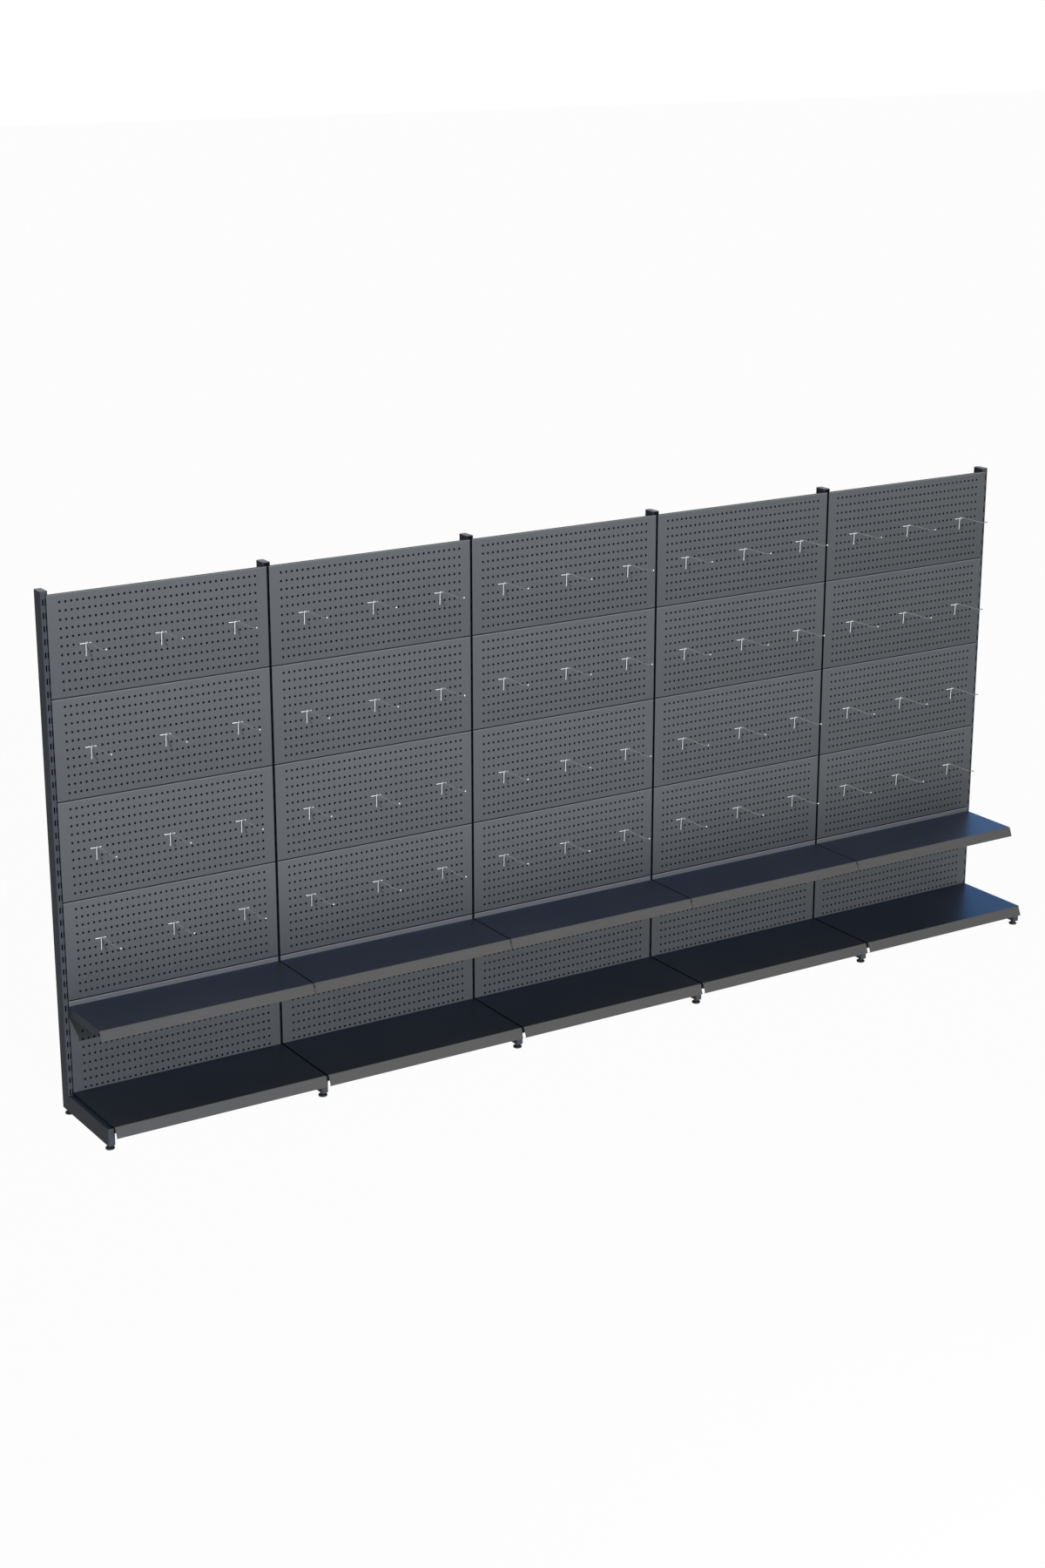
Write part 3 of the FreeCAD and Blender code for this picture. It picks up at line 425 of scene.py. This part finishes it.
class Shader:
    """Node tree of a material or of the world, built by calls."""

    def __init__(self, owner):
        owner.use_nodes = True
        self.tree = owner.node_tree
        self.tree.nodes.clear()

    def node(self, kind, settings, sockets, output=0):
        """Adds a node, sets its settings and then its sockets, and returns one of its outputs."""
        made = self.tree.nodes.new(kind)
        for name, value in settings.items():
            setattr(made, name, value)
        for key, value in sockets.items():
            if isinstance(value, Value):
                self.tree.links.new(value.socket, made.inputs[key])
            else:
                made.inputs[key].default_value = value
        return Value(self, made.outputs[output]) if made.outputs else None

    def maths(self, operation, first, second):
        return self.node("ShaderNodeMath", {"operation": operation}, {0: first, 1: second})

    def place(self):
        """Object coordinates, in metres."""
        return self.node("ShaderNodeTexCoord", {}, {}, "Object")

    def along(self, axis, start=0.0, pitch=None):
        """Object coordinate along an axis; with a pitch, counted anew from start at every pitch."""
        spot = self.node("ShaderNodeSeparateXYZ", {}, {0: self.place()}, axis)
        return self.maths("FLOORED_MODULO", spot - start, pitch) if pitch else spot - start

    def between(self, axis, low, high, start=0.0, pitch=None):
        """1 where the coordinate along an axis lies between two places, 0 elsewhere."""
        spot = self.along(axis, start, pitch)
        return self.maths("GREATER_THAN", spot, low) * self.maths("LESS_THAN", spot, high)

    def near_grid(self, *ways):
        """1 within the hole shade's radius of the middles of a grid of cells, 0 elsewhere.

        The squares of the ways off the nearest middle, by modulo, add up to less than the radius squared.
        """
        inside = 1.0
        square = 0.0
        for way, count, size in ways:
            off = self.maths("FLOORED_MODULO", way, size) - size / 2
            square = square + off * off
            inside = inside * self.maths("GREATER_THAN", way, 0.0)
            inside = inside * self.maths("LESS_THAN", way, count * size)
        return inside * self.maths("LESS_THAN", square, HOLE_SHADE ** 2)

    def noise(self, scale, detail=2.0, stretch=(1.0, 1.0, 1.0)):
        """Noise from 0 to 1 with about scale bumps in a metre, drawn out along an axis by a small stretch."""
        sockets = {"Vector": self.place(), "Scale": stretch}
        spot = self.node("ShaderNodeMapping", {"vector_type": "POINT"}, sockets)
        return self.node("ShaderNodeTexNoise", {}, {"Vector": spot, "Scale": scale, "Detail": detail})

    def tinted(self, factor, dark, light):
        """Colour between two, by a factor."""
        settings = {"data_type": "RGBA", "clamp_factor": True}
        return self.node("ShaderNodeMix", settings, {0: factor, 6: (*dark, 1.0), 7: (*light, 1.0)}, 2)

    def blended(self, factor, under, colour):
        """Linked colour, going over to a plain one by a factor."""
        settings = {"data_type": "RGBA", "clamp_factor": True}
        return self.node("ShaderNodeMix", settings, {0: factor, 6: under, 7: (*colour, 1.0)}, 2)

    def bumped(self, height, distance):
        """Normal of a surface with the given relief, its height from 0 to 1 over a distance in metres."""
        return self.node("ShaderNodeBump", {}, {"Height": height, "Distance": distance, "Strength": 1.0})

    def surface(self, sockets):
        """Principled surface, linked to the output."""
        shade = self.node("ShaderNodeBsdfPrincipled", {}, sockets)
        self.node("ShaderNodeOutputMaterial", {}, {"Surface": shade})


def scaled(tint, share):
    """Colour times a number."""
    return tuple(channel * share for channel in tint)


def powder(shader, tint, gloss, roughness, reflection, shade=0.0):
    """Sockets of a graphite powder coat: orange peel a millimetre across, faint cloudiness and grain.

    The shade adds its share of the tint.
    """
    cloud = shader.noise(3.0, 3.0)
    grain = shader.noise(900.0, 1.0)
    tone = cloud * 0.6 + grain * 0.4
    peel = shader.noise(620.0, 2.0)
    return {
        "Base Color": shader.tinted(tone * 0.2 + 0.4 + shade, scaled(tint, 0.5), scaled(tint, 1.5)),
        "Roughness": roughness - 0.06 + cloud * 0.12,
        "Normal": shader.bumped(peel, 0.00004),
        "Specular IOR Level": reflection,
        "Specular Tint": (*gloss, 1.0),
    }


def frame_coat(name, tones):
    """Powder coat of the uprights, legs, brackets and rails.

    Black painted shade lies on the uprights' fronts in the gaps between the bays and on the brackets under the
    shelves, and the legs' flat tops get the decks' painted metallic sheen.
    """
    material = bpy.data.materials.new(name)
    shader = Shader(material)
    sockets = powder(shader, tones.steel, tones.sheen, 0.42, 0.02)
    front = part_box("upright_1")[0][1]
    inner = shader.between("X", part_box("upright_1")[1][0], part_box(f"upright_{BAYS + 1}")[0][0])
    low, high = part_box("shelf_brackets_1")
    # Painted shade: black on the uprights' fronts between the bays and on the brackets below the shelves.
    gaps = shader.between("Y", front - COAT_EDGE, front + COAT_EDGE)
    gaps = gaps + shader.between("Y", low[1], front - COAT_EDGE) * shader.between("Z", low[2], high[2])
    sockets["Base Color"] = shader.blended(gaps * inner, sockets["Base Color"], tones.inside)
    leg_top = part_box("base_leg_1")[1][2]
    # Painted sheen: the legs' flat tops turn metallic like the decks' tops.
    sockets["Metallic"] = shader.between("Z", leg_top - COAT_EDGE, leg_top + COAT_EDGE) * SHEEN
    shader.surface(sockets)
    return material


def panel_coat(name, tones):
    """Powder coat of the panels, a little paler towards each panel's upper edge and darker to the right by painted
    shade.

    Painted shade darkens it below the shelves. Above each seam between two rows runs a dark line of painted shade,
    below it a painted highlight on the fold. Black painted shade lies round and in the peg holes, in the pans
    behind them and on the folded sides.
    """
    material = bpy.data.materials.new(name)
    shader = Shader(material)
    low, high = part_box("upper_back_panels_1")
    seam = (low[2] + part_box("lower_back_panels_1")[1][2]) / 2
    row = (high[2] - seam) / UPPER_ROWS
    fall = row - shader.along("Z", seam, row)
    share = fall * (1 / row)
    shelf_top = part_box("shelf_1")[1][2]
    fourth = shader.between("Z", seam - row, seam)
    under = shader.between("Z", 0.0, shelf_top - COAT_EDGE)
    # Darker down each row, twice over in the fourth; painted shade darkens it to the right and below the shelves.
    shade = ROW_SHADE - share * ROW_FALL - share * fourth * ROW_FALL
    shade = shade - shader.maths("MAXIMUM", shader.along("X"), 0.0) * BAY_FALL
    shade = shade * (1.0 - under) - under * UNDER_SHADE
    sockets = powder(shader, tones.panel, tones.gloss, 0.5, 0.25, shade)
    # Painted shade: black in the pans behind the front sheet and on the folded sides.
    folds = shader.between("Y", low[1] + PANEL_SHEET + COAT_EDGE, high[1] - PANEL_SHEET + COAT_EDGE)
    across = shader.along("X", BAY_START, BAY) - (BAY - PEG_COLUMNS * PEG_PITCH[0]) / 2
    down = fall - (row - PEG_ROWS * PEG_PITCH[1]) / 2
    # Painted shade: black rings round the peg holes on the front sheet.
    holes = shader.near_grid((across, PEG_COLUMNS, PEG_PITCH[0]), (down, PEG_ROWS, PEG_PITCH[1]))
    holes = holes * shader.between("Y", low[1] - COAT_EDGE, low[1] + PANEL_SHEET + COAT_EDGE)
    # Painted shade in a dark line above each seam, and a painted highlight in a pale line below it on the fold.
    dark = shader.maths("GREATER_THAN", fall, row - SEAM_LINE)
    pale = shader.maths("LESS_THAN", fall, SEAM_LINE)
    coat = shader.blended(pale, sockets["Base Color"], tones.fold_highlight)
    black = shader.maths("MAXIMUM", dark, shader.maths("MAXIMUM", folds, holes))
    sockets["Base Color"] = shader.blended(black, coat, tones.inside)
    shader.surface(sockets)
    return material


def shelf_coat(name, tones):
    """Powder coat of the decks and shelves: painted bluish metallic sheen on the flat tops, a colour of the
    shelves' tops of their own for how light falls on them, and painted black shade on the side ends where the bays
    meet.
    """
    material = bpy.data.materials.new(name)
    shader = Shader(material)
    sockets = powder(shader, tones.sheet, tones.sheen, 0.36, 0.1)
    tops = [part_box(f"{kind}_1")[1][2] for kind in ("base_deck", "shelf")]
    flat = [shader.between("Z", top - COAT_EDGE, top + COAT_EDGE) for top in tops]
    # Painted sheen: the flat tops of decks and shelves turn metallic.
    sockets["Metallic"] = (flat[0] + flat[1]) * SHEEN
    sides = [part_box(f"{kind}_1")[0][0] - BAY_START for kind in ("base_deck", "shelf")]
    levels = (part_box("base_leg_1")[1][2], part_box("shelf_1")[0][2])
    # Painted shade: black on the side ends of decks and shelves, where the bays meet.
    ends = 0.0
    for side, low, top, sheet in zip(sides, levels, tops, (DECK_SHEET, 0.0)):
        outer, inner = side - COAT_EDGE, side + sheet + COAT_EDGE
        both = shader.between("X", outer, inner, BAY_START, BAY)
        both = both + shader.between("X", BAY - inner, BAY - outer, BAY_START, BAY)
        ends = ends + both * shader.between("Z", low - COAT_EDGE, top - COAT_EDGE)
    # Painted light and shade: the shelves' flat tops get a colour of their own.
    coat = shader.blended(flat[1], sockets["Base Color"], tones.top)
    sockets["Base Color"] = shader.blended(ends, coat, tones.inside)
    shader.surface(sockets)
    return material


def plastic(name, tint, roughness, grain_size):
    """Moulded plastic with a fine spark-eroded grain and slight flow marks."""
    material = bpy.data.materials.new(name)
    shader = Shader(material)
    grain = shader.noise(grain_size, 2.0)
    flow = shader.noise(60.0, 2.0, (1.0, 1.0, 0.3))
    shader.surface({
        "Base Color": shader.tinted(flow, scaled(tint, 0.85), scaled(tint, 1.2)),
        "Roughness": roughness - 0.05 + grain * 0.1,
        "Normal": shader.bumped(grain, 0.00005),
        "Specular IOR Level": 0.45,
    })
    return material


def zinc(name, tint, roughness, metallic, stretch):
    """Bright zinc: metal with faint cloudiness and fine lines drawn out along one axis."""
    material = bpy.data.materials.new(name)
    shader = Shader(material)
    cloud = shader.noise(90.0, 2.0)
    lines = shader.noise(1500.0, 1.0, stretch)
    shader.surface({
        "Base Color": shader.tinted(cloud, scaled(tint, 0.93), tint),
        "Roughness": roughness - 0.04 + lines * 0.08,
        "Normal": shader.bumped(lines, 0.000015),
        "Metallic": metallic,
    })
    return material


def finish_of(slot):
    """Finish of a slot of the record, made when it is first asked for."""
    name = f"{slot}_finish"
    if name in bpy.data.materials:
        return bpy.data.materials[name]
    tones = bpy.context.scene.gondola_finishes
    makers = {
        "frame_coat": lambda: frame_coat(name, tones),
        "rail_coat": lambda: frame_coat(name, tones),
        "panel_coat": lambda: panel_coat(name, tones),
        "shelf_coat": lambda: shelf_coat(name, tones),
        "cap_plastic": lambda: plastic(name, tones.cap, 0.35, 900.0),
        "foot_plastic": lambda: plastic(name, tones.foot, 0.5, 700.0),
        "hook_zinc": lambda: zinc(name, tones.wire, 0.3, 0.4, (1.0, 0.1, 1.0)),
        "fastener_zinc": lambda: zinc(name, tones.screw, 0.35, 1.0, (1.0, 1.0, 1.0)),
    }
    return makers[slot]()


# Pieces


class GONDOLA_OT_coats(Operator):
    """Give every part of the frame the finish that the record names for it"""

    bl_idname = "gondola.coats"
    bl_label = "Coat Sheet Metal"
    bl_options = {"REGISTER", "UNDO"}

    def execute(self, context):
        for part in RECORD["subparts"]:
            mesh = frame["nodes"][part["node"]].data
            mesh.materials.clear()
            mesh.materials.append(finish_of(part["material_slot"]))
        return {"FINISHED"}


class GONDOLA_OT_hooks(Operator):
    """Bend the wire display hooks and set them in the peg holes, one piece for each line of hooks"""

    bl_idname = "gondola.hooks"
    bl_label = "Bend Display Hooks"
    bl_options = {"REGISTER", "UNDO"}

    def execute(self, context):
        size = context.scene.gondola_hooks
        line = 1
        while f"hook_line_{line}" in frame["nodes"]:
            node = f"hook_line_{line}"
            level = JOINTS[f"{node}_tilt"]["pos_m"]
            hook = self.hook(size)
            places = [(x, level[1], level[2]) for x in self.columns(size)]
            piece(f"display_hooks_{line}", copied(hook, places), finish_of("hook_zinc"), body_of(node),
                  [node])
            line += 1
        return {"FINISHED"}

    @staticmethod
    def hook(size):
        """One hook with its crossbar's middle at the origin: crossbar, prong with its leg, ball and weld."""
        rear = size.tail_reach + WIRE_MIDDLE
        tail = [(size.pitch, rear, size.tail_rise - size.wire), (size.pitch, rear, 0), (size.pitch, 0, 0)]
        other = [(-x, y, z) for x, y, z in tail[::-1]]
        crossbar = wire_line(np.array(tail + other, float), [size.bend] * 4)
        front = size.weld - 2 * size.wire
        out = WIRE_MIDDLE - size.prong
        corners = [(0, 0, size.wire - size.leg), (0, front, size.lift), (0, out, size.lift),
                   (0, out - size.tip_reach, size.lift + size.tip_rise)]
        prong = wire_line(np.array(corners, float), [size.prong_bend] * 2)
        sides = (2, 1, 1)
        bead = ball((0, front / 2, 0), [size.wire * side * 0.8 for side in sides])
        return joined([
            wire(crossbar, (1, 0, 0), size.wire),
            wire(prong, (1, 0, 0), size.wire),
            ball(corners[-1], [size.ball] * 3),
            bead,
        ])

    @staticmethod
    def columns(size):
        """X of the hooks: an odd number in each bay, step peg holes apart about its middle."""
        half = (size.per_bay - 1) / 2
        return [middle(f"base_deck_{bay}")[0] + (k - half) * size.step * size.pitch
                for bay in all_bays() for k in range(size.per_bay)]


class GONDOLA_OT_feet(Operator):
    """Turn the levelling feet, each a ribbed pad with a chamfered nut and a threaded stem"""

    bl_idname = "gondola.feet"
    bl_label = "Turn Levelling Feet"
    bl_options = {"REGISTER", "UNDO"}

    def execute(self, context):
        size = context.scene.gondola_feet
        foot = self.foot(size)
        for end in ("front", "rear"):
            for number in all_uprights():
                node = f"{end}_foot_{number}"
                low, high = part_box(node)
                x, y, _ = middle(node)
                stem = threaded(size.stem, size.depth, size.thread, size.nut_top - OVERLAP, high[2])
                piece(f"{end}_levelling_foot_{number}", copied(joined([foot, stem]), [(x, y, low[2])]),
                      finish_of("foot_plastic"), body_of(node), [node])
        return {"FINISHED"}

    @staticmethod
    def foot(size):
        """Pad and nut on the origin.

        The pad's side is a quarter round of the edge radius below and above a straight wall, and its radius
        dips by the rib depth times (1 - cos(ribs a)) / 2.
        """
        angles = round_angles(size.ribs * 6)
        quarter = np.linspace(0, math.pi / 2, 5)
        core = size.pad - size.edge
        radii = np.concatenate([[0.4 * core], core + size.edge * np.sin(quarter),
                                core + size.edge * np.cos(quarter), [0.62 * core]])
        heights = np.concatenate([[0], size.edge * (1 - np.cos(quarter)),
                                  size.height - size.edge * (1.3 - np.sin(quarter)), [size.height]])
        rise = np.clip((radii - core) / size.edge, 0, 1)
        dip = size.rib * (1 - np.cos(size.ribs * angles)) / 2
        pad = turned(radii[:, None] - rise[:, None] * dip[None, :], heights, angles)
        return joined([pad, nut(size.flats, size.height - OVERLAP, size.nut_top)])


class GONDOLA_OT_caps(Operator):
    """Mould the plastic caps in the open tops of the uprights"""

    bl_idname = "gondola.caps"
    bl_label = "Mould Upright Caps"
    bl_options = {"REGISTER", "UNDO"}

    def execute(self, context):
        size = context.scene.gondola_caps
        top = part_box("upright_caps")[1][2]
        caps = []
        for number in all_uprights():
            low, high = (np.array(corner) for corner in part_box(f"upright_{number}"))
            x, y = (low + high)[:2] / 2
            caps.append(copied(self.cap(size, *(high - low)[:2] / 2, top - high[2]), [(x, y, high[2])]))
        piece("upright_end_caps", joined(caps), finish_of("cap_plastic"), body_of("upright_caps"),
              ["upright_caps"])
        return {"FINISHED"}

    @staticmethod
    def cap(size, half_x, half_y, height):
        """Plug, flange and crowned top on the origin, as rounded rectangles.

        The edge is inset by e (1 - cos b) at height h - crown - e (1 - sin b), and the top rises by crown
        times (1 - share of the way out squared).
        """
        plug = [(size.inset + 0.0006, -size.plug), (size.inset, -size.plug + 0.0006), (size.inset, 0.0)]
        edge = size.edge
        shoulder = height - size.crown - edge
        bends = np.linspace(0, math.pi / 2, 5)
        flange = [(0.0, 0.0)] + [(edge * (1 - math.cos(b)), shoulder + edge * math.sin(b)) for b in bends]
        rings = [rounded_ring(half_x - inset, half_y - inset, max(size.corner - inset, 0.0008), z)
                 for inset, z in plug + flange]
        shares = np.array([0.85, 0.6, 0.3, 0.1])[:, None, None]
        top = rings[-1] * shares
        top[..., 2] = height - size.crown * shares[..., 0] ** 2
        return lofted(np.concatenate([np.array(rings), top]))


class GONDOLA_OT_screws(Operator):
    """Turn the pan head screws that hold the tie rails to the uprights"""

    bl_idname = "gondola.screws"
    bl_label = "Turn Rail Screws"
    bl_options = {"REGISTER", "UNDO"}

    def execute(self, context):
        size = context.scene.gondola_screws
        screws = []
        for rails in ("upper_tie_rails", "lower_tie_rails"):
            low, high = (np.array(corner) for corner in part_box(rails))
            levels = (low[2] + PLATE_INSET, high[2] - PLATE_INSET)
            y = middle(rails)[1]
            for bay in all_bays():
                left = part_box(f"upright_{bay}")[1][0]
                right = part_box(f"upright_{bay + 1}")[0][0]
                for face, way in ((left, 1), (right, -1)):
                    turn = [[0, 0, way], [0, 1, 0], [-way, 0, 0]]
                    screw = swapped(self.screw(size), turn)
                    screws.append(copied(screw, [(face + way * PLATE_FACE, y, z) for z in levels]))
        piece("rail_pan_screws", joined(screws), finish_of("fastener_zinc"), body_of("rail_screws"),
              ["rail_screws"])
        return {"FINISHED"}

    @staticmethod
    def screw(size):
        """Screw along Z, its head standing on the origin: a domed head of radius r cos b at height h sin b,
        whose four recessed quarters sink by the recess's share, and a threaded shank below."""
        bends = np.linspace(0, math.pi / 2, 7)
        angles = round_angles(48)
        radii = size.head * np.cos(bends * 0.92) ** 0.6
        heights = size.height * np.sin(bends)
        arm = np.minimum(np.abs(np.sin(angles)), np.abs(np.cos(angles)))
        inside = (radii[:, None] < size.recess) & (radii[:, None] * arm[None, :] < size.arm)
        dome = turned(radii, heights, angles)
        sunk = dome[0].reshape(len(heights), len(angles), 3)
        sunk[..., 2] -= np.where(inside, size.sink, 0.0)
        shank = threaded(size.shank, size.depth, size.thread, -size.reach, 0.0002, sides=16)
        return joined([dome, shank])


class GONDOLA_OT_stage(Operator):
    """Set up the pale floor, the surroundings, the lamps and the camera"""

    bl_idname = "gondola.stage"
    bl_label = "Set Stage"
    bl_options = {"REGISTER", "UNDO"}

    def execute(self, context):
        levels = context.scene.gondola_stage
        self.floor(levels)
        self.surroundings(context, levels)
        self.lamps(context, levels)
        self.camera(context, levels)
        context.scene.view_settings.view_transform = "Standard"
        return {"FINISHED"}

    @staticmethod
    def seen(shader):
        """1 for rays from the camera and for those that gloss or glass sends on, 0 for plain light."""
        path = shader.node("ShaderNodeLightPath", {}, {}, "Is Camera Ray")
        outputs = path.socket.node.outputs
        glossy = Value(shader, outputs["Is Glossy Ray"])
        through = Value(shader, outputs["Is Transmission Ray"])
        return shader.maths("MAXIMUM", path, shader.maths("MAXIMUM", glossy, through))

    def floor(self, levels):
        """Flat floor about the object, pale where light falls on it and nearly white to the camera."""
        low, high = (np.array(corner) for corner in CAD_BOX)
        centre = (low + high) / 2
        reach = 12 * np.linalg.norm(high - low)
        corners = [(centre[0] + x * reach, centre[1] + y * reach, low[2])
                   for x, y in ((-1, -1), (1, -1), (1, 1), (-1, 1))]
        mesh = bpy.data.meshes.new("studio_floor")
        mesh.from_pydata(corners, [], [(0, 1, 2, 3)])
        material = bpy.data.materials.new("studio_floor")
        shader = Shader(material)
        pale = shader.node("ShaderNodeBsdfPrincipled", {}, {
            "Base Color": (*levels.floor, 1.0), "Roughness": 0.9, "Specular IOR Level": 0.1})
        white = shader.node("ShaderNodeEmission", {}, {"Color": (1, 1, 1, 1), "Strength": 1.0})
        share = self.seen(shader) * levels.paleness
        mixed = shader.node("ShaderNodeMixShader", {}, {0: share, 1: pale, 2: white})
        shader.node("ShaderNodeOutputMaterial", {}, {"Surface": mixed})
        mesh.materials.append(material)
        made = bpy.data.objects.new("studio_floor", mesh)
        bpy.context.scene.collection.objects.link(made)

    def surroundings(self, context, levels):
        """White to the camera and in gloss, and a dim even sky as light."""
        world = bpy.data.worlds.new("studio")
        context.scene.world = world
        shader = Shader(world)
        dim = shader.node("ShaderNodeBackground", {}, {"Color": (1, 1, 1, 1), "Strength": levels.sky})
        white = shader.node("ShaderNodeBackground", {}, {"Color": (1, 1, 1, 1), "Strength": 1.0})
        mixed = shader.node("ShaderNodeMixShader", {}, {0: self.seen(shader), 1: dim, 2: white})
        shader.node("ShaderNodeOutputWorld", {}, {"Surface": mixed})

    @staticmethod
    def lamps(context, levels):
        """Distant key light from the front and a broad soft lamp before the left bays."""
        key = bpy.data.lights.new("key", "SUN")
        key.energy = levels.key
        key.angle = math.radians(0.8)
        made = bpy.data.objects.new("key", key)
        made.rotation_euler = Vector(levels.heading).to_track_quat("-Z", "Y").to_euler()
        context.scene.collection.objects.link(made)
        soft = bpy.data.lights.new("fill", "AREA")
        soft.shape = "RECTANGLE"
        soft.size, soft.size_y = 3.0, 1.6
        soft.energy = levels.fill
        made = bpy.data.objects.new("fill", soft)
        made.location = levels.fill_place
        made.rotation_euler = Vector(levels.fill_way).to_track_quat("-Z", "Y").to_euler()
        context.scene.collection.objects.link(made)

    @staticmethod
    def camera(context, levels):
        """Camera to the left of the run and above it."""
        lens = bpy.data.cameras.new("camera")
        lens.lens = levels.lens
        lens.sensor_width = 36.0
        lens.shift_y = levels.rise
        lens.clip_end = 400.0
        made = bpy.data.objects.new("camera", lens)
        made.location = levels.place
        made.rotation_euler = Euler((levels.tilt, 0.0, levels.turn))
        context.scene.collection.objects.link(made)
        context.scene.camera = made


class GONDOLA_PT_sidebar(Panel):
    """Lists the steps and their sizes"""

    bl_idname = "GONDOLA_PT_sidebar"
    bl_label = "Gondola Shelving Run"
    bl_space_type = "VIEW_3D"
    bl_region_type = "UI"
    bl_category = "Gondola"

    def draw(self, context):
        layout = self.layout
        layout.use_property_split = True
        for step, group in STEPS:
            box = layout.box()
            box.operator(step.bl_idname)
            if group:
                values = getattr(context.scene, group)
                for name in values.__annotations__:
                    box.prop(values, name)


STEPS = (
    (GONDOLA_OT_coats, "gondola_finishes"),
    (GONDOLA_OT_hooks, "gondola_hooks"),
    (GONDOLA_OT_feet, "gondola_feet"),
    (GONDOLA_OT_caps, "gondola_caps"),
    (GONDOLA_OT_screws, "gondola_screws"),
    (GONDOLA_OT_stage, "gondola_stage"),
)

GROUPS = {
    "gondola_finishes": Finishes,
    "gondola_hooks": HookSizes,
    "gondola_feet": FootSizes,
    "gondola_caps": CapSizes,
    "gondola_screws": ScrewSizes,
    "gondola_stage": StageLevels,
}

CLASSES = (*GROUPS.values(), *(step for step, _ in STEPS), GONDOLA_PT_sidebar)


def register():
    for made in CLASSES:
        bpy.utils.register_class(made)
    for name, group in GROUPS.items():
        setattr(bpy.types.Scene, name, PointerProperty(type=group))


def unregister():
    for name in GROUPS:
        delattr(bpy.types.Scene, name)
    for made in reversed(CLASSES):
        bpy.utils.unregister_class(made)


def main():
    register()
    bpy.ops.gondola.coats()
    bpy.ops.gondola.hooks()
    bpy.ops.gondola.feet()
    bpy.ops.gondola.caps()
    bpy.ops.gondola.screws()
    bpy.ops.gondola.stage()


if __name__ == "__main__":
    main()
